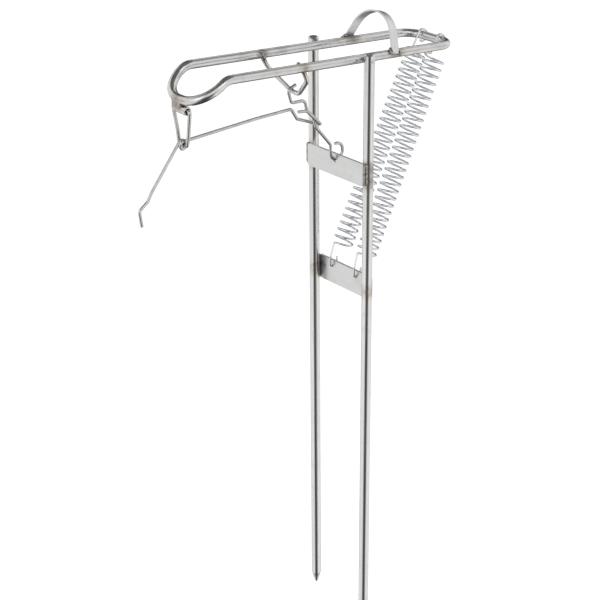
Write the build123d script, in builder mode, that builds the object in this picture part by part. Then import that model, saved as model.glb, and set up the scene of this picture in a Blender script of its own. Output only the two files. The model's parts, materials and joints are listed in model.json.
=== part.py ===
from build123d import *
from math import asin, atan2, cos, hypot, pi, radians, sin
import os

os.makedirs("parts", exist_ok=True)

# Frame: +X is the way the rod tip points, +Y is to the left, +Z is up.
# The origin is on the ground line, midway between the two stakes.

# ---- driving dimensions (mm, degrees) ----
post_diameter = 8.0
post_half_spacing = 30.5
ground_to_pivot = 346.0
stake_depth = 150.0
post_rise = 5.0
post_chamfer = 0.8
tip_length = 11.0
tip_radius = 1.0

rail_diameter = 6.5
rail_half_spacing = 22.95
rail_pitch = 5.0
rear_reach = 95.3
rear_corner_radius = 13.0
dip_start = 120.24
dip_bend_radius = 13.95
dip_angle = 37.2
front_corner_radius = 21.49

pin_diameter = 3.0
pin_clearance = 0.05

strip_thickness = 2.0
upper_plate_half_width = 31.0
upper_plate_top = -78.0
upper_plate_height = 18.0
catch_hole_radius = 2.4
catch_hole_drop = 4.5
lower_plate_half_width = 29.5
lower_plate_top = -174.3
lower_plate_height = 20.0
spring_hole_radius = 1.6
spring_hole_drop = 4.8
plate_corner_radius = 1.5
weld_radius = 1.9

arch_position = -29.9
arch_lean = 12.4
arch_width = 7.5
arch_thickness = 1.3
arch_crown_radius = 22.45
arch_rise = 27.5
arch_flare = 26.1
arch_foot = 1.0
arch_weld_radius = 1.3

hanger_diameter = 3.4
hanger_position = 57.4
hanger_rake = 26.1
hanger_top = (22.55, -2.0)
hanger_shoulder = (21.6, -12.3)
hanger_drop = 33.1
hanger_shoulder_radius = 8.0
hanger_foot_radius = 9.0
hanger_weld_radius = 1.5

sleeve_diameter = 6.2
sleeve_bore = 4.0
sleeve_length = 14.4
sleeve_position = (146.4, -9.9)

link_diameter = 2.7
link_drop = 25.8
link_top_half_width = 9.5
link_bottom_half_width = 4.4

wire_diameter = 2.4
fulcrum_coil_radius = 2.9
fulcrum_coil_half_width = 1.46

spring_wire = 1.6
spring_coil_radius = 7.8
spring_pitch = 5.74
spring_top_half_spacing = 9.7
spring_bottom_half_spacing = 13.8
spring_top_gap = 12.5
spring_bottom_gap = 13.0

# ---- derived places ----
post_radius = post_diameter / 2
rail_radius = rail_diameter / 2
pivot = Vector(0, 0, ground_to_pivot)
pitch_cos, pitch_sin = cos(radians(rail_pitch)), sin(radians(rail_pitch))
loop_plane = Plane(origin=pivot, x_dir=(pitch_cos, 0, pitch_sin), z_dir=(-pitch_sin, 0, pitch_cos))
side_plane = Plane(origin=pivot, x_dir=(1, 0, 0), z_dir=(0, -1, 0))


def on_side(x, z, y=0.0):
    """A point given forward of and above the pivot axis, y to the left."""
    return Vector(x, y, z + ground_to_pivot)


def rail_point(along, y=0.0, rise=0.0):
    """A point given along the rails from the pivot axis, y to the left, rise square to them."""
    return loop_plane.from_local_coords(Vector(along, y, rise))


def helix_on(plane, height, turns, radius, lefthand=False):
    """A helix about the plane's normal that starts on its x axis."""
    return plane.location * Helix(height / turns, height, radius, lefthand=lefthand, mode=Mode.PRIVATE)


def export(part, name):
    part.label = name
    export_step(part, f"parts/{name}.step")


# ---- posts: one bar each, chamfered at the top and drawn to a stake tip ----
def post_profile():
    """Half of the post's outline, from the stake tip up."""
    base = -stake_depth + tip_length
    top = ground_to_pivot + post_rise
    slope = atan2(post_radius - tip_radius, tip_length - tip_radius)
    nose = (tip_radius * cos(slope), -stake_depth + tip_radius * (1 - sin(slope)))
    middle = (tip_radius * sin(pi / 4 - slope / 2), -stake_depth + tip_radius * (1 - cos(pi / 4 - slope / 2)))
    with BuildLine(Plane.XZ) as outline:
        ThreePointArc((0, -stake_depth), middle, nose)
        Polyline(
            nose,
            (post_radius, base),
            (post_radius, top - post_chamfer),
            (post_radius - post_chamfer, top),
            (0, top),
            (0, -stake_depth),
        )
    return outline.line


posts = {}
for side, sign in (("left", 1), ("right", -1)):
    with BuildPart() as post:
        with BuildSketch(Plane.XZ):
            add(post_profile())
            make_face()
        revolve(axis=Axis.Z)
        with BuildSketch(Plane.XZ.offset(-post_diameter)):
            with Locations((0, ground_to_pivot)):
                Circle(pin_diameter / 2)
        extrude(amount=2 * post_diameter, mode=Mode.SUBTRACT)
    export(post.part.moved(Location((0, sign * post_half_spacing, 0))), f"{side}_post")


# ---- cradle frame: one bar bent into a loop, its front end dipped ----
def cradle_half_path():
    """The left half of the bar, from the middle of the rear bend to the middle of the cradle."""
    bend = radians(dip_angle)
    bend_end = dip_start + dip_bend_radius * sin(bend)
    bend_drop = -dip_bend_radius * (1 - cos(bend))
    bend_mid = (
        dip_start + dip_bend_radius * sin(bend / 2),
        rail_half_spacing,
        -dip_bend_radius * (1 - cos(bend / 2)),
    )
    front_straight = rail_half_spacing - front_corner_radius

    def on_corner(turn):
        reach = front_corner_radius * sin(radians(turn))
        return (
            bend_end + reach * cos(bend),
            front_straight + front_corner_radius * cos(radians(turn)),
            bend_drop - reach * sin(bend),
        )

    with BuildLine(loop_plane) as path:
        FilletPolyline(
            (-rear_reach, 0),
            (-rear_reach, rail_half_spacing),
            (dip_start, rail_half_spacing),
            radius=rear_corner_radius,
        )
        ThreePointArc((dip_start, rail_half_spacing, 0), bend_mid, on_corner(0))
        ThreePointArc(on_corner(0), on_corner(45), on_corner(90))
        Line(on_corner(90), (on_corner(90)[0], 0, on_corner(90)[2]))
    return path.line


with BuildPart() as cradle_frame:
    with BuildLine() as loop_path:
        add(cradle_half_path())
    with BuildSketch(Plane(origin=rail_point(-rear_reach), z_dir=(0, 1, 0))):
        Circle(rail_radius)
    sweep(path=loop_path.line)
    mirror(about=Plane.XZ)
    with BuildSketch(Plane.XZ.offset(-2 * rail_half_spacing)):
        with Locations((0, ground_to_pivot)):
            Circle(pin_diameter / 2 + pin_clearance)
    extrude(amount=4 * rail_half_spacing, mode=Mode.SUBTRACT)
export(cradle_frame.part, "cradle_frame")


# ---- pivot pins: pressed through the posts, ending flush with the inside of each rail ----
for side, sign in (("left", 1), ("right", -1)):
    outer = post_half_spacing + post_radius
    inner = rail_half_spacing - rail_radius
    with BuildPart() as pivot_pin:
        with BuildSketch(Plane(origin=pivot + Vector(0, sign * outer, 0), z_dir=(0, -sign, 0))):
            Circle(pin_diameter / 2)
        extrude(amount=outer - inner)
    export(pivot_pin.part, f"{side}_pivot_pin")


# ---- cross plates: flat strips welded across the two posts ----
def cross_plate(back_x, half_width, top, height, holes, hole_radius):
    """A strip with rounded corners whose rear face is at back_x."""
    centre = ground_to_pivot + top - height / 2
    with BuildPart() as plate:
        with BuildSketch(Plane.YZ.offset(back_x)):
            with Locations((0, centre)):
                RectangleRounded(2 * half_width, height, plate_corner_radius)
            with Locations(*[(y, z + ground_to_pivot) for y, z in holes]):
                Circle(hole_radius, mode=Mode.SUBTRACT)
        extrude(amount=strip_thickness)
    return plate.part


catch_hole = (0, upper_plate_top - catch_hole_drop)
spring_hole_z = lower_plate_top - spring_hole_drop
spring_holes = [(y, spring_hole_z) for y in (spring_bottom_half_spacing, -spring_bottom_half_spacing)]
upper_back = post_radius
lower_back = -post_radius - strip_thickness
upper_cross_plate = cross_plate(
    upper_back, upper_plate_half_width, upper_plate_top, upper_plate_height, [catch_hole], catch_hole_radius
)
export(upper_cross_plate, "upper_cross_plate")
lower_cross_plate = cross_plate(
    lower_back, lower_plate_half_width, lower_plate_top, lower_plate_height, spring_holes, spring_hole_radius
)
export(lower_cross_plate, "lower_cross_plate")


def bead(start, end, radius):
    """A weld bead: a round-ended run of filler between two points."""
    start, end = Vector(start), Vector(end)
    with BuildPart() as run:
        with BuildSketch(Plane(origin=start, z_dir=end - start)):
            Circle(radius)
        extrude(amount=(end - start).length)
        for spot in (start, end):
            with Locations(spot):
                Sphere(radius)
    return run.part


def without(weld, *pieces):
    """The filler that is left outside the pieces it joins."""
    with BuildPart() as trimmed:
        add(weld)
        for piece in pieces:
            add(piece, mode=Mode.SUBTRACT)
    return trimmed.part


def post_solid(sign):
    """A plain round bar where a post stands, to trim a weld against."""
    with BuildPart() as bar:
        with BuildSketch(Plane.XY.offset(-stake_depth)):
            with Locations((0, sign * post_half_spacing)):
                Circle(post_radius)
        extrude(amount=ground_to_pivot + stake_depth)
    return bar.part


def plate_welds(bead_x, edge_y, face_x, half_width, top, height):
    """Two upright beads where a plate's ends lie against the posts."""
    low = ground_to_pivot + top - height + 1.5 * weld_radius
    high = ground_to_pivot + top - weld_radius
    with BuildPart() as blank:
        with BuildSketch(Plane.XY.offset(low - height)):
            with Locations((face_x / 2, 0)):
                Rectangle(abs(face_x), 2 * half_width)
        extrude(amount=3 * height)
    beads = []
    for sign in (1, -1):
        run = bead((bead_x, sign * edge_y, low), (bead_x, sign * edge_y, high), weld_radius)
        beads.append(without(run, blank.part, post_solid(sign)))
    return beads


def export_group(parts, name):
    with BuildPart() as group:
        for part in parts:
            add(part)
    export(group.part, name)


upper_beads = plate_welds(
    upper_back + 0.1,
    upper_plate_half_width + 0.9,
    upper_back + strip_thickness,
    upper_plate_half_width,
    upper_plate_top,
    upper_plate_height,
)
export_group(upper_beads, "upper_plate_welds")
lower_beads = plate_welds(
    lower_back + strip_thickness - 0.1,
    lower_plate_half_width + 0.2,
    lower_back,
    lower_plate_half_width,
    lower_plate_top,
    lower_plate_height,
)
export_group(lower_beads, "lower_plate_welds")

# ---- hold-down arch: a bent strip over the rear of the rails, its feet cut to sit on them ----
def straight_bars(half_spacing, radius, start, end):
    """Two straight bars along the rails, to trim other pieces against."""
    with BuildPart() as bars:
        for sign in (1, -1):
            with BuildSketch(Plane(origin=rail_point(start, sign * half_spacing), z_dir=loop_plane.x_dir)):
                Circle(radius)
            extrude(amount=end - start)
    return bars.part


rail_bars = straight_bars(rail_half_spacing, rail_radius, -rear_reach / 2, 0.75 * dip_start)
arch_tilt = radians(arch_lean + rail_pitch)
arch_plane = Plane(
    origin=rail_point(arch_position), x_dir=(0, 1, 0), z_dir=(cos(arch_tilt), 0, sin(arch_tilt))
)
arch_centre = arch_rise - arch_crown_radius
flare = radians(arch_flare)


def arch_line(inset):
    """The strip's line in its own plane, inset from the outer face: foot, shoulder, crown."""
    radius = arch_crown_radius - inset
    shoulder = (radius * cos(flare), arch_centre + radius * sin(flare))
    leg = (shoulder[1] - arch_foot) / cos(flare)
    foot = (shoulder[0] + leg * sin(flare), arch_foot)
    return foot, shoulder, (0, arch_rise - inset)


def mirrored(spot):
    return (-spot[0], spot[1])


outer_foot, outer_shoulder, outer_crown = arch_line(0)
inner_foot, inner_shoulder, inner_crown = arch_line(arch_thickness)
with BuildPart() as hold_down_arch:
    with BuildSketch(arch_plane.offset(-arch_width / 2)):
        with BuildLine():
            Polyline(inner_shoulder, inner_foot, outer_foot, outer_shoulder)
            ThreePointArc(outer_shoulder, outer_crown, mirrored(outer_shoulder))
            Polyline(
                mirrored(outer_shoulder), mirrored(outer_foot), mirrored(inner_foot), mirrored(inner_shoulder)
            )
            ThreePointArc(mirrored(inner_shoulder), inner_crown, inner_shoulder)
        make_face()
    extrude(amount=arch_width)
    add(rail_bars, mode=Mode.SUBTRACT)
export(hold_down_arch.part, "hold_down_arch")

arch_beads = []
for sign in (1, -1):
    for face in (-1, 1):
        depth = face * (arch_width / 2 + 0.4)
        low = arch_plane.from_local_coords(Vector(sign * (outer_foot[0] - 0.1), arch_foot, depth))
        high = arch_plane.from_local_coords(Vector(sign * (inner_foot[0] - 1.2), arch_foot + 2.3, depth))
        arch_beads.append(without(bead(low, high, arch_weld_radius), rail_bars, hold_down_arch.part))
export_group(arch_beads, "arch_welds")

# ---- hanger bar: a bent rod welded under the rails that the catch holds down ----
hanger_tilt = radians(hanger_rake)
hanger_plane = Plane(
    origin=rail_point(hanger_position),
    x_dir=(0, 1, 0),
    z_dir=(cos(hanger_tilt), 0, -sin(hanger_tilt)),
)
with BuildPart() as hanger_bar:
    with BuildLine(hanger_plane) as hanger_path:
        FilletPolyline(
            mirrored(hanger_top),
            mirrored(hanger_shoulder),
            (0, -hanger_drop),
            hanger_shoulder,
            hanger_top,
            radius=[hanger_shoulder_radius, hanger_foot_radius, hanger_shoulder_radius],
        )
    with BuildSketch(Plane(origin=hanger_path.line @ 0, z_dir=hanger_path.line % 0)):
        Circle(hanger_diameter / 2)
    sweep(path=hanger_path.line)
    add(rail_bars, mode=Mode.SUBTRACT)
export(hanger_bar.part, "hanger_bar")

hanger_beads = []
for sign in (1, -1):
    low = rail_point(hanger_position - 1.8, sign * (rail_half_spacing - 2.1), -rail_radius + 0.3)
    high = rail_point(hanger_position + 1.9, sign * (rail_half_spacing - 2.3), rail_radius - 0.8)
    hanger_beads.append(without(bead(low, high, hanger_weld_radius), rail_bars, hanger_bar.part))
export_group(hanger_beads, "hanger_welds")

# ---- front sleeve: a short tube under the cradle that carries the link ----
sleeve_x, sleeve_z = sleeve_position
with BuildPart() as front_sleeve:
    with BuildSketch(Plane(origin=on_side(sleeve_x, sleeve_z, -sleeve_length / 2), z_dir=(0, 1, 0))):
        Circle(sleeve_diameter / 2)
        Circle(sleeve_bore / 2, mode=Mode.SUBTRACT)
    extrude(amount=sleeve_length)
    add(cradle_frame.part, mode=Mode.SUBTRACT)
export(front_sleeve.part, "front_sleeve")

with BuildPart() as sleeve_blank:
    with BuildSketch(Plane(origin=on_side(sleeve_x, sleeve_z, -sleeve_length), z_dir=(0, 1, 0))):
        Circle(sleeve_diameter / 2)
    extrude(amount=2 * sleeve_length)
with BuildPart() as sleeve_weld:
    with BuildSketch(side_plane.offset(-2.2)):
        with BuildLine():
            Polyline(
                (sleeve_x - 2.7, sleeve_z + 0.8),
                (sleeve_x - 3.3, sleeve_z + 7.2),
                (sleeve_x + 3.0, sleeve_z + 7.6),
                (sleeve_x + 3.0, sleeve_z + 0.6),
                close=True,
            )
        make_face()
        fillet([v for v in vertices()], 0.6)
    extrude(amount=9.0)
    add(sleeve_blank.part, mode=Mode.SUBTRACT)
    add(cradle_frame.part, mode=Mode.SUBTRACT)
export(sleeve_weld.part.solids().sort_by(SortBy.VOLUME)[-1], "sleeve_weld")

# ---- front link: bent wire through the sleeve, its two ends meeting inside ----
link_bottom = sleeve_z - link_drop
with BuildPart() as front_link:
    with BuildLine(Plane(origin=on_side(sleeve_x, 0), x_dir=(0, 1, 0), z_dir=(1, 0, 0))) as link_path:
        FilletPolyline(
            (0.4, sleeve_z),
            (link_top_half_width, sleeve_z),
            (link_top_half_width - 2.8, link_bottom + 8.0),
            (link_bottom_half_width + 0.3, link_bottom),
            (-link_bottom_half_width, link_bottom),
            (-link_bottom_half_width - 0.9, link_bottom + 9.0),
            (-link_top_half_width, sleeve_z),
            (-0.4, sleeve_z),
            radius=[1.6, 6.0, 2.0, 2.0, 4.0, 1.6],
        )
    with BuildSketch(Plane(origin=link_path.line @ 0, z_dir=link_path.line % 0)):
        Circle(link_diameter / 2)
    sweep(path=link_path.line)
export(front_link.part, "front_link")

# ---- trigger lever: one wire, coiled round the link's foot, hooked at its rear end ----
fulcrum = (sleeve_x, link_bottom)
lever_knee = (174.2, -64.6)
knee_dx, knee_dz = fulcrum[0] - lever_knee[0], fulcrum[1] - lever_knee[1]
knee_distance = hypot(knee_dx, knee_dz)
coil_start = atan2(-knee_dz, -knee_dx) + pi / 2 - asin(fulcrum_coil_radius / knee_distance)
coil_turns = (5 * pi / 2 - coil_start) / (2 * pi)


def on_coil(angle, y):
    return on_side(
        fulcrum[0] + fulcrum_coil_radius * cos(angle), fulcrum[1] + fulcrum_coil_radius * sin(angle), y
    )


coil_in = on_coil(coil_start, -fulcrum_coil_half_width)
coil_out = on_coil(pi / 2, fulcrum_coil_half_width)
with BuildPart() as trigger_lever:
    coil_plane = Plane(
        origin=on_side(*fulcrum, -fulcrum_coil_half_width),
        x_dir=(cos(coil_start), 0, sin(coil_start)),
        z_dir=(0, 1, 0),
    )
    with BuildLine() as coil_path:
        add(helix_on(coil_plane, 2 * fulcrum_coil_half_width, coil_turns, fulcrum_coil_radius, lefthand=True))
    with BuildSketch(Plane(origin=coil_path.line @ 0, z_dir=coil_path.line % 0)):
        Circle(wire_diameter / 2)
    sweep(path=coil_path.line, is_frenet=True)
    with BuildLine() as arm_path:
        FilletPolyline(
            coil_in,
            on_side(*lever_knee, -fulcrum_coil_half_width),
            on_side(177.6, -70.0, -fulcrum_coil_half_width),
            on_side(184.9, -75.2, -fulcrum_coil_half_width),
            on_side(183.4, -86.8, -fulcrum_coil_half_width),
            radius=[6.0, 4.0, 3.0],
        )
    with BuildSketch(Plane(origin=arm_path.line @ 0, z_dir=arm_path.line % 0)):
        Circle(wire_diameter / 2)
    sweep(path=arm_path.line)
    with BuildLine() as hook_path:
        FilletPolyline(
            coil_out,
            on_side(80.0, -33.7, -2.9),
            on_side(46.2, -34.2, -2.9),
            on_side(40.7, -43.0, -2.9),
            on_side(22.3, -50.8, -2.9),
            on_side(22.3, -50.0, 2.75),
            on_side(36.0, -36.6, 2.75),
            on_side(44.2, -35.4, 2.75),
            radius=[12.0, 3.0, 2.5, 1.7, 1.7, 3.0],
        )
    with BuildSketch(Plane(origin=hook_path.line @ 0, z_dir=hook_path.line % 0)):
        Circle(wire_diameter / 2)
    sweep(path=hook_path.line)
export(trigger_lever.part, "trigger_lever")

# ---- catch hook: one wire, an open eye through the upper plate and a hook round the hanger ----
eye_centre = (4.2, -76.4)
eye_radius = 6.2
eye_tip_angle = 72.0
with BuildPart() as latch_hook:
    with BuildLine(side_plane) as eye_path:
        CenterArc(eye_centre, eye_radius, eye_tip_angle, 360 - eye_tip_angle)
        FilletPolyline(
            (eye_centre[0] + eye_radius, eye_centre[1]),
            (eye_centre[0] + eye_radius, -69.6),
            (25.0, -52.2),
            (27.5, -43.4),
            (33.4, -38.2),
            (35.6, -29.2),
            (48.4, -28.4),
            (51.4, -18.2),
            (44.0, -15.6),
            radius=[4.0, 6.0, 2.5, 2.2, 4.0, 3.5, 2.6],
        )
    with BuildSketch(Plane(origin=eye_path.line @ 0, z_dir=eye_path.line % 0)):
        Circle(wire_diameter / 2)
    sweep(path=eye_path.line)
export(latch_hook.part, "latch_hook")


# ---- extension springs: coils with hooked ends, from the rear bend to the lower plate ----
def spring(sign):
    """One spring, hooked over the rear bar at the top and through its plate hole at the bottom."""
    top = rail_point(-rear_reach, sign * spring_top_half_spacing)
    bottom = on_side(-8.5, -175.5, sign * spring_bottom_half_spacing)
    up = (top - bottom).normalized()
    forward = Vector(0, 1, 0).cross(up).normalized()
    across = up.cross(forward)
    coil_length = (top - bottom).length - spring_top_gap - spring_bottom_gap
    turns = round(coil_length / spring_pitch)
    base = bottom + up * spring_bottom_gap
    crown = top - up * spring_top_gap
    lead = 2.0
    with BuildPart() as body:
        with BuildLine() as coil:
            add(helix_on(Plane(origin=base, x_dir=forward, z_dir=up), coil_length, turns, spring_coil_radius))
        with BuildSketch(Plane(origin=coil.line @ 0, z_dir=coil.line % 0)):
            Circle(spring_wire / 2)
        sweep(path=coil.line, is_frenet=True)
        start, finish = coil.line @ 0, coil.line @ 1
        with BuildLine() as top_hook:
            FilletPolyline(
                finish,
                finish + (coil.line % 1) * lead,
                top + forward * 4.5 + up * 4.5,
                top - forward * 4.5 + up * 4.5,
                top - forward * 4.5 - up * 4.6,
                top + forward * 0.6 - up * 4.6,
                radius=[1.2, 4.1, 4.1, 3.0],
            )
        with BuildSketch(Plane(origin=finish, z_dir=top_hook.line % 0)):
            Circle(spring_wire / 2)
        sweep(path=top_hook.line)
        hole_y = sign * spring_bottom_half_spacing
        with BuildLine() as bottom_hook:
            FilletPolyline(
                start,
                start - (coil.line % 0) * lead,
                on_side(-2.4, -170.5, hole_y),
                on_side(-1.4, spring_hole_z, hole_y),
                on_side(-9.2, spring_hole_z, hole_y),
                on_side(-9.0, -172.8, hole_y),
                radius=[1.2, 3.0, 2.0, 2.2],
            )
        with BuildSketch(Plane(origin=start, z_dir=bottom_hook.line % 0)):
            Circle(spring_wire / 2)
        sweep(path=bottom_hook.line)
    return body.part


for side, sign in (("left", 1), ("right", -1)):
    export(spring(sign), f"{side}_spring")
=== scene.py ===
import json
import math

import bmesh
import bpy
from mathutils import Matrix, Vector


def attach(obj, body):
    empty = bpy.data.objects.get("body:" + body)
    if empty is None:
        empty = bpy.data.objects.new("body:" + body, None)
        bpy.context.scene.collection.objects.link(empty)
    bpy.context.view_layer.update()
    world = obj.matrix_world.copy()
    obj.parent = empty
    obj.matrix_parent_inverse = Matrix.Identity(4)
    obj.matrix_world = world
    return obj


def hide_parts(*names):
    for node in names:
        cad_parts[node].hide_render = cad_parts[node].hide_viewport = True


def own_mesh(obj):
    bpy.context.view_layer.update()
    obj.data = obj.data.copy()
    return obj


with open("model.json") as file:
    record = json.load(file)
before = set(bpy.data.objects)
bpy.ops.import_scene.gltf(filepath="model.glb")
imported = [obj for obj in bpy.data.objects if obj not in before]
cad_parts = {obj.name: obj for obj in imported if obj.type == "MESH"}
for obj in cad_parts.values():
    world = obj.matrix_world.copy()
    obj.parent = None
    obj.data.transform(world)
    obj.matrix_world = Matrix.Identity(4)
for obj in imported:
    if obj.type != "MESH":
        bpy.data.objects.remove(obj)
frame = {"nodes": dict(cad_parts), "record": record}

# ---------------------------------------------------------------- places, in mm from the pivot axis
MM = 0.001
PIVOT_HEIGHT = 346.0
FLOOR_HEIGHT = -150.6
RAIL_PITCH = math.radians(5.0)
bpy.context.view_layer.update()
nodes = frame["nodes"]


def at(x, y, z):
    """A point given in mm from the middle of the pivot axis, in the row frame in metres."""
    return Vector((x, y, z + PIVOT_HEIGHT)) * MM


def rail(along, y, rise=0.0):
    """A point given in mm along the rails from the pivot axis, y to the left, rise square to them."""
    forward = along * math.cos(RAIL_PITCH) - rise * math.sin(RAIL_PITCH)
    return at(forward, y, along * math.sin(RAIL_PITCH) + rise * math.cos(RAIL_PITCH))


# ---------------------------------------------------------------- node helpers
def new_material(name):
    """An empty node material with its shader: (material, node tree, shader)."""
    material = bpy.data.materials.new(name)
    material.use_nodes = True
    tree = material.node_tree
    return material, tree, tree.nodes["Principled BSDF"]


def noise(tree, vector, scale, detail=4.0, roughness=0.55, distortion=0.0):
    node = tree.nodes.new("ShaderNodeTexNoise")
    node.inputs["Scale"].default_value = scale
    node.inputs["Detail"].default_value = detail
    node.inputs["Roughness"].default_value = roughness
    node.inputs["Distortion"].default_value = distortion
    tree.links.new(vector, node.inputs["Vector"])
    return node.outputs["Fac"]


def stretched(tree, coord, scale):
    """Coordinates scaled by a different amount on each axis."""
    node = tree.nodes.new("ShaderNodeMapping")
    node.inputs["Scale"].default_value = scale
    tree.links.new(coord, node.inputs["Vector"])
    return node.outputs["Vector"]


def ramped(tree, value, low, high, out_low=0.0, out_high=1.0):
    """value mapped from low..high to out_low..out_high, clamped."""
    node = tree.nodes.new("ShaderNodeMapRange")
    node.inputs["From Min"].default_value = low
    node.inputs["From Max"].default_value = high
    node.inputs["To Min"].default_value = out_low
    node.inputs["To Max"].default_value = out_high
    tree.links.new(value, node.inputs["Value"])
    return node.outputs["Result"]


def math_node(tree, operation, a, b):
    node = tree.nodes.new("ShaderNodeMath")
    node.operation = operation
    for socket, value in zip(node.inputs, (a, b)):
        if isinstance(value, (int, float)):
            socket.default_value = value
        else:
            tree.links.new(value, socket)
    return node.outputs["Value"]


def mixed(tree, factor, a, b, blend="MIX"):
    """Colours a and b mixed by factor."""
    node = tree.nodes.new("ShaderNodeMix")
    node.data_type = "RGBA"
    node.blend_type = blend
    for socket, value in zip((node.inputs[0], node.inputs[6], node.inputs[7]), (factor, a, b)):
        if isinstance(value, (int, float)):
            socket.default_value = value
        elif isinstance(value, tuple):
            socket.default_value = (*value, 1.0)
        else:
            tree.links.new(value, socket)
    return node.outputs[2]


def near_points(tree, coord, spots):
    """1 at each spot, falling to 0 at its radius: spots are (point, radius) in metres."""
    total = None
    for point, radius in spots:
        distance = tree.nodes.new("ShaderNodeVectorMath")
        distance.operation = "DISTANCE"
        tree.links.new(coord, distance.inputs[0])
        distance.inputs[1].default_value = point
        value = ramped(tree, distance.outputs["Value"], 0.0, radius, 1.0, 0.0)
        total = value if total is None else math_node(tree, "MAXIMUM", total, value)
    return total


# Position along the stain and its tint, from clean metal to the weld's edge.
HEAT_STOPS = (
    (0.12, (1.0, 1.0, 1.0)),
    (0.35, (0.90, 0.86, 0.79)),
    (0.55, (0.66, 0.61, 0.57)),
    (0.72, (0.48, 0.48, 0.51)),
    (0.95, (0.36, 0.35, 0.345)),
)


def colour_ramp(tree, value, steps):
    """value looked up in a ramp of (position, colour) steps."""
    node = tree.nodes.new("ShaderNodeValToRGB")
    stops = node.color_ramp.elements
    for stop, (position, colour) in zip(stops, (steps[0], steps[-1])):
        stop.position = position
        stop.color = (*colour, 1.0)
    for position, colour in steps[1:-1]:
        stops.new(position).color = (*colour, 1.0)
    tree.links.new(value, node.inputs["Fac"])
    return node.outputs["Color"]


def heat_tint(tree, colour, mask, coord):
    """colour with the faint straw and grey-blue stain that welding leaves, where mask is high."""
    wobble = ramped(tree, noise(tree, coord, 260.0, 5.0), 0.3, 0.7, -0.16, 0.16)
    mask = math_node(tree, "ADD", mask, wobble)
    return mixed(tree, 1.0, colour, colour_ramp(tree, mask, HEAT_STOPS), "MULTIPLY"), mask


def bumpy(tree, shader, height, strength, depth):
    """The shader's normal, raised by height; depth is in metres."""
    node = tree.nodes.new("ShaderNodeBump")
    node.inputs["Strength"].default_value = strength
    node.inputs["Distance"].default_value = depth
    tree.links.new(height, node.inputs["Height"])
    tree.links.new(node.outputs["Normal"], shader.inputs["Normal"])


STREAK_DEPTH = 0.00006
WELD_DEPTH = 0.00012
SOOT = (0.20, 0.175, 0.15)
BLOOM = (0.33, 0.36, 0.46)


def steel(name, base, rough, streak, spots=(), mottle=0.12, grain=0.08, bump=0.25):
    """Drawn or brushed steel: streaks along its length, mottling, fine grain and heat tint at its welds."""
    material, tree, shader = new_material(name)
    coord = tree.nodes.new("ShaderNodeTexCoord").outputs["Object"]
    streaks = noise(tree, stretched(tree, coord, streak), 1.0, 6.0, 0.62)
    clouds = noise(tree, coord, 70.0, 5.0, 0.6, 0.6)
    fine = noise(tree, coord, 3200.0, 3.0, 0.6)
    dark = tuple(c * (1.0 - 2.2 * grain) for c in base)
    light = tuple(min(1.0, c * (1.0 + grain)) for c in base)
    colour = mixed(tree, ramped(tree, streaks, 0.32, 0.68), dark, light)
    shade = tuple(c * (1.0 - 2.0 * mottle) for c in base)
    colour = mixed(tree, ramped(tree, clouds, 0.52, 0.78, 0.0, 0.75), colour, shade)
    roughness = math_node(
        tree,
        "ADD",
        ramped(tree, streaks, 0.3, 0.7, rough - 0.07, rough + 0.10),
        ramped(tree, clouds, 0.4, 0.8, 0.0, 0.10),
    )
    if spots:
        colour, mask = heat_tint(tree, colour, near_points(tree, coord, spots), coord)
        roughness = math_node(tree, "ADD", roughness, ramped(tree, mask, 0.3, 0.9, 0.0, 0.18))
    tree.links.new(colour, shader.inputs["Base Color"])
    tree.links.new(roughness, shader.inputs["Roughness"])
    shader.inputs["Metallic"].default_value = 1.0
    drawn_part = math_node(tree, "MULTIPLY", streaks, 0.7)
    fine_part = math_node(tree, "MULTIPLY", fine, 0.3)
    bumpy(tree, shader, math_node(tree, "ADD", drawn_part, fine_part), bump, STREAK_DEPTH)
    return material


def weld_metal(name, base, rough):
    """Weld filler: bright crests, sooty hollows and a blue-grey bloom."""
    material, tree, shader = new_material(name)
    coord = tree.nodes.new("ShaderNodeTexCoord").outputs["Object"]
    patches = noise(tree, coord, 420.0, 5.0, 0.6)
    grains = noise(tree, coord, 1900.0, 4.0, 0.6)
    colour = mixed(tree, ramped(tree, patches, 0.36, 0.64), SOOT, base)
    colour = mixed(tree, ramped(tree, grains, 0.55, 0.72, 0.0, 0.6), colour, BLOOM)
    tree.links.new(colour, shader.inputs["Base Color"])
    tree.links.new(ramped(tree, grains, 0.3, 0.7, rough - 0.1, rough + 0.2), shader.inputs["Roughness"])
    shader.inputs["Metallic"].default_value = 1.0
    bumpy(tree, shader, grains, 0.5, WELD_DEPTH)
    return material


# ---------------------------------------------------------------- finishes
ALONG_X = (9.0, 900.0, 900.0)
ALONG_Y = (800.0, 9.0, 800.0)
ALONG_Z = (900.0, 900.0, 7.0)
EVENLY = (260.0, 260.0, 260.0)


# Where the stain of each weld is centred, and its radius in metres.
ARCH_FOOT = (-31.0, 24.5, 2.5)
HANGER_ROOT = (57.4, 21.5, -1.0)
SLEEVE_WELD = (146.4, -2.0, -5.0)
UPPER_WELD = (2.0, 32.5)
UPPER_WELD_HEIGHTS = (-92.0, -83.0)
LOWER_WELD = (-2.5, 29.0, -184.0)


def both_sides(place, spot, radius):
    """The stain's spot on the left and on the right, placed by the function place."""
    x, y, z = spot
    return [(place(x, side * y, z), radius) for side in (1, -1)]


frame_spots = both_sides(rail, ARCH_FOOT, 0.013) + both_sides(rail, HANGER_ROOT, 0.010)
frame_spots.append((at(*SLEEVE_WELD), 0.011))
post_spots = [
    (at(UPPER_WELD[0], side * UPPER_WELD[1], z), 0.011) for side in (1, -1) for z in UPPER_WELD_HEIGHTS
]
post_spots += both_sides(at, LOWER_WELD, 0.012)

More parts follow.
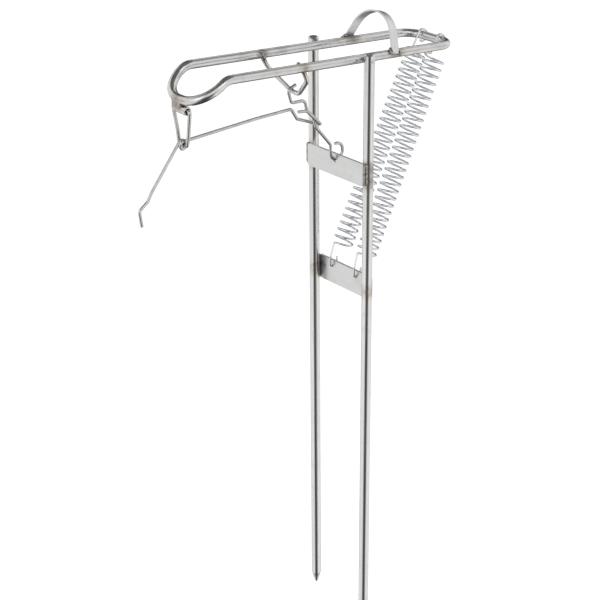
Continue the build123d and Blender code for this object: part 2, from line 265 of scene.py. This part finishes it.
finishes = {
    "post_steel": steel("post_steel", (0.76, 0.755, 0.745), 0.15, ALONG_Z, post_spots, mottle=0.08),
    "rod_steel": steel("rod_steel", (0.68, 0.67, 0.66), 0.15, ALONG_X, frame_spots, mottle=0.20),
    "plate_steel": steel(
        "plate_steel", (0.72, 0.72, 0.715), 0.30, ALONG_Y, mottle=0.09, grain=0.025, bump=0.1
    ),
    "wire_steel": steel("wire_steel", (0.62, 0.61, 0.60), 0.14, EVENLY),
    "spring_wire": steel("spring_wire", (0.78, 0.80, 0.835), 0.08, EVENLY, mottle=0.04, grain=0.04),
    "pin_steel": steel("pin_steel", (0.66, 0.65, 0.64), 0.30, EVENLY),
    "weld_metal": weld_metal("weld_metal", (0.50, 0.49, 0.48), 0.28),
}
slot_of = {entry["node"]: entry["material_slot"] for entry in frame["record"]["subparts"]}
for name, piece in nodes.items():
    piece.data.materials.clear()
    piece.data.materials.append(finishes[slot_of[name]])


# ---------------------------------------------------------------- wire work
def rounded(points, radii, step=0.35):
    """The points of a polyline whose inner corners are arcs of the given radii."""
    points = [Vector(p) for p in points]
    made = [points[0]]
    for before, corner, after, radius in zip(points, points[1:], points[2:], radii):
        a, b = (before - corner).normalized(), (after - corner).normalized()
        half = a.angle(b) / 2
        reach = radius / math.tan(half)
        centre = corner + (a + b).normalized() * (radius / math.sin(half))
        start, end = corner + a * reach - centre, corner + b * reach - centre
        turn = start.angle(end)
        axis = start.cross(end).normalized()
        count = max(3, int(radius * turn / step))
        made += [centre + Matrix.Rotation(turn * i / count, 3, axis) @ start for i in range(count + 1)]
    return made + [points[-1]]


DOME_SHARE = 0.82
DOME_DEPTH = 0.18
SHORTEST_STEP = 0.001


def tube(name, path, radius, sides=16):
    """A round wire along path, in mm, with slightly domed cut ends."""
    path = [p for i, p in enumerate(path) if i == 0 or (p - path[i - 1]).length > SHORTEST_STEP]
    mesh = bmesh.new()
    tangents = []
    for i, point in enumerate(path):
        before, after = path[max(i - 1, 0)], path[min(i + 1, len(path) - 1)]
        tangents.append((after - before).normalized())
    side = tangents[0].orthogonal().normalized()
    rings = []
    dome = DOME_DEPTH * radius
    stations = [(path[0], tangents[0], DOME_SHARE), (path[0] + tangents[0] * dome, tangents[0], 1.0)]
    stations += [(p, t, 1.0) for p, t in zip(path[1:-1], tangents[1:-1])]
    stations += [(path[-1] - tangents[-1] * dome, tangents[-1], 1.0), (path[-1], tangents[-1], DOME_SHARE)]
    for point, tangent, share in stations:
        side = (side - tangent * side.dot(tangent)).normalized()
        other = tangent.cross(side)
        ring = []
        for k in range(sides):
            angle = 2 * math.pi * k / sides
            offset = (side * math.cos(angle) + other * math.sin(angle)) * radius * share
            ring.append(mesh.verts.new((point + offset) * MM))
        rings.append(ring)
    for one, two in zip(rings, rings[1:]):
        for k in range(sides):
            face = mesh.faces.new((one[k], one[(k + 1) % sides], two[(k + 1) % sides], two[k]))
            face.smooth = True
    mesh.faces.new(list(reversed(rings[0])))
    mesh.faces.new(rings[-1])
    data = bpy.data.meshes.new(name)
    mesh.to_mesh(data)
    mesh.free()
    piece = bpy.data.objects.new(name, data)
    bpy.context.collection.objects.link(piece)
    return piece


# ---------------------------------------------------------------- springs
WIRE_RADIUS = 0.8
COIL_RADIUS = 7.8
COIL_PITCH = 5.74
TOP_GAP = 12.5
BOTTOM_GAP = 13.0
REAR_REACH = 95.3
LEAD = 2.0
PLATE_HOLE = (-5.0, -179.1)
BOTTOM_HALF_SPACING = 13.8
TOP_HALF_SPACING = 9.7
HOOK_REACH = 4.5
HOOK_DROP = 4.6
HOOK_END = 0.6
COIL_SIDES = 40
UPPER_HOOK_RADII = (1.2, 4.1, 4.1, 3.0)
LOWER_HOOK_RADII = (1.2, 3.0, 2.0, 2.2)
LOWER_HOOK = ((-2.4, -170.5), (-1.4, PLATE_HOLE[1]), (-9.2, PLATE_HOLE[1]), (-9.0, -172.8))


def spring_path(side):
    """The spring's wire from its lower hook's end to its upper hook's end, in mm."""
    bottom_y, top_y = side * BOTTOM_HALF_SPACING, side * TOP_HALF_SPACING
    top = rail(-REAR_REACH, top_y) / MM
    bottom = at(-8.5, bottom_y, -175.5) / MM
    up = (top - bottom).normalized()
    forward = Vector((0, 1, 0)).cross(up).normalized()
    across = up.cross(forward)
    length = (top - bottom).length - TOP_GAP - BOTTOM_GAP
    turns = round(length / COIL_PITCH)
    base = bottom + up * BOTTOM_GAP
    steps = turns * COIL_SIDES
    coil = []
    for i in range(steps + 1):
        angle = 2 * math.pi * turns * i / steps
        radial = forward * math.cos(angle) + across * math.sin(angle)
        coil.append(base + radial * COIL_RADIUS + up * (length * i / steps))
    slope = (across * 2 * math.pi * COIL_RADIUS * turns + up * length).normalized()
    top_hook = [
        coil[-1],
        coil[-1] + slope * LEAD,
        top + forward * HOOK_REACH + up * HOOK_REACH,
        top - forward * HOOK_REACH + up * HOOK_REACH,
        top - forward * HOOK_REACH - up * HOOK_DROP,
        top + forward * HOOK_END - up * HOOK_DROP,
    ]
    low_hook = [coil[0], coil[0] - slope * LEAD]
    low_hook += [at(x, bottom_y, z) / MM for x, z in LOWER_HOOK]
    upper = rounded(top_hook, UPPER_HOOK_RADII)
    lower = rounded(low_hook, LOWER_HOOK_RADII)
    return list(reversed(lower)) + coil[1:-1] + upper


for label, side in (("left", 1), ("right", -1)):
    spring = tube(f"{label}_return_spring", spring_path(side), WIRE_RADIUS)
    spring.data.materials.append(finishes["spring_wire"])
    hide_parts(f"{label}_spring")
    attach(spring, f"spring_{label}")
    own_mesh(spring)


# ---------------------------------------------------------------- floor, light and camera
FLOOR_HALF = 8.0
FLOOR_GLOW = 0.62


def floor():
    """A pale ground, in metres, that glows a little and isn't mirrored in the steel."""
    mesh = bmesh.new()
    corners = ((-1, -1), (1, -1), (1, 1), (-1, 1))
    mesh.faces.new(
        [mesh.verts.new((x * FLOOR_HALF, y * FLOOR_HALF, FLOOR_HEIGHT * MM)) for x, y in corners]
    )
    data = bpy.data.meshes.new("floor")
    mesh.to_mesh(data)
    mesh.free()
    piece = bpy.data.objects.new("floor", data)
    bpy.context.collection.objects.link(piece)
    material, tree, shader = new_material("floor")
    coord = tree.nodes.new("ShaderNodeTexCoord").outputs["Object"]
    tone = ramped(tree, noise(tree, coord, 3.0), 0.3, 0.7, 0.86, 0.88)
    colour = mixed(tree, tone, (0.0, 0.0, 0.0), (1.0, 1.0, 1.0))
    tree.links.new(colour, shader.inputs["Base Color"])
    shader.inputs["Roughness"].default_value = 0.9
    shader.inputs["Emission Color"].default_value = (1.0, 1.0, 1.0, 1.0)
    shader.inputs["Emission Strength"].default_value = FLOOR_GLOW
    data.materials.append(material)
    piece.visible_glossy = False


floor()


def area_light(name, place, aim, size, power):
    data = bpy.data.lights.new(name, "AREA")
    data.shape = "RECTANGLE"
    data.size, data.size_y = size
    data.energy = power
    light = bpy.data.objects.new(name, data)
    bpy.context.collection.objects.link(light)
    light.location = place
    light.rotation_mode = "QUATERNION"
    light.rotation_quaternion = (Vector(aim) - Vector(place)).to_track_quat("-Z", "Y")


CENTRE = (0.0, 0.0, 0.25)
area_light("key", (0.4, 2.2, 2.2), CENTRE, (1.6, 1.0), 5.0)
area_light("fill", (2.4, 0.2, 1.2), CENTRE, (1.2, 1.2), 3.0)
area_light("back", (-1.8, -1.4, 1.8), CENTRE, (1.4, 0.8), 3.0)

# A room with bright side walls and dark ends: where the walls and the front panel stand, and their tones.
SIDE_WALL = (-0.7586, 0.6515, 0.0)
FRONT_BOX = (0.5836, 0.6793, 0.445)
WALL_TONES = ((0.0, 0.07), (0.24, 0.09), (0.38, 0.32), (0.56, 1.0), (0.90, 1.0), (1.0, 0.75))
CEILING = (0.16, 0.16, 0.16)

world = bpy.data.worlds.new("studio")
bpy.context.scene.world = world
world.use_nodes = True
tree = world.node_tree
background = tree.nodes["Background"]
direction = tree.nodes.new("ShaderNodeTexCoord").outputs["Generated"]
sideways = tree.nodes.new("ShaderNodeVectorMath")
sideways.operation = "DOT_PRODUCT"
sideways.inputs[1].default_value = SIDE_WALL
tree.links.new(direction, sideways.inputs[0])
across = math_node(tree, "ABSOLUTE", sideways.outputs["Value"], 0.0)
walls = colour_ramp(tree, across, [(position, (tone,) * 3) for position, tone in WALL_TONES])
height = tree.nodes.new("ShaderNodeSeparateXYZ")
tree.links.new(direction, height.inputs["Vector"])
overhead = ramped(tree, height.outputs["Z"], 0.60, 0.80)
shade = mixed(tree, overhead, walls, CEILING)
facing = tree.nodes.new("ShaderNodeVectorMath")
facing.operation = "DOT_PRODUCT"
facing.inputs[1].default_value = FRONT_BOX
tree.links.new(direction, facing.inputs[0])
front_box = ramped(tree, facing.outputs["Value"], 0.84, 0.95)
tree.links.new(mixed(tree, front_box, shade, (1.0, 1.0, 1.0)), background.inputs["Color"])
background.inputs["Strength"].default_value = 1.0

AZIMUTH = math.radians(40.657)
ELEVATION = math.radians(26.424)
ROLL = math.radians(-0.619)
DISTANCE = 1083.68
SHIFT_RIGHT = -29.98
SHIFT_UP = -182.22
FOCAL = 88.64
SENSOR_WIDTH = 36.0
back = Vector(
    (
        math.sin(AZIMUTH) * math.cos(ELEVATION),
        math.cos(AZIMUTH) * math.cos(ELEVATION),
        math.sin(ELEVATION),
    )
)
level = Vector((-math.cos(AZIMUTH), math.sin(AZIMUTH), 0.0))
upright = level.cross(-back)
right = level * math.cos(ROLL) + upright * math.sin(ROLL)
up = upright * math.cos(ROLL) - level * math.sin(ROLL)
camera_data = bpy.data.cameras.new("camera")
camera_data.lens = FOCAL
camera_data.sensor_width = SENSOR_WIDTH
camera = bpy.data.objects.new("camera", camera_data)
bpy.context.collection.objects.link(camera)
place = (back * DISTANCE + right * SHIFT_RIGHT + up * SHIFT_UP) + Vector((0, 0, PIVOT_HEIGHT))
camera.matrix_world = Matrix.Translation(place * MM) @ Matrix((right, up, back)).transposed().to_4x4()
bpy.context.scene.camera = camera
bpy.context.scene.view_settings.view_transform = "Standard"
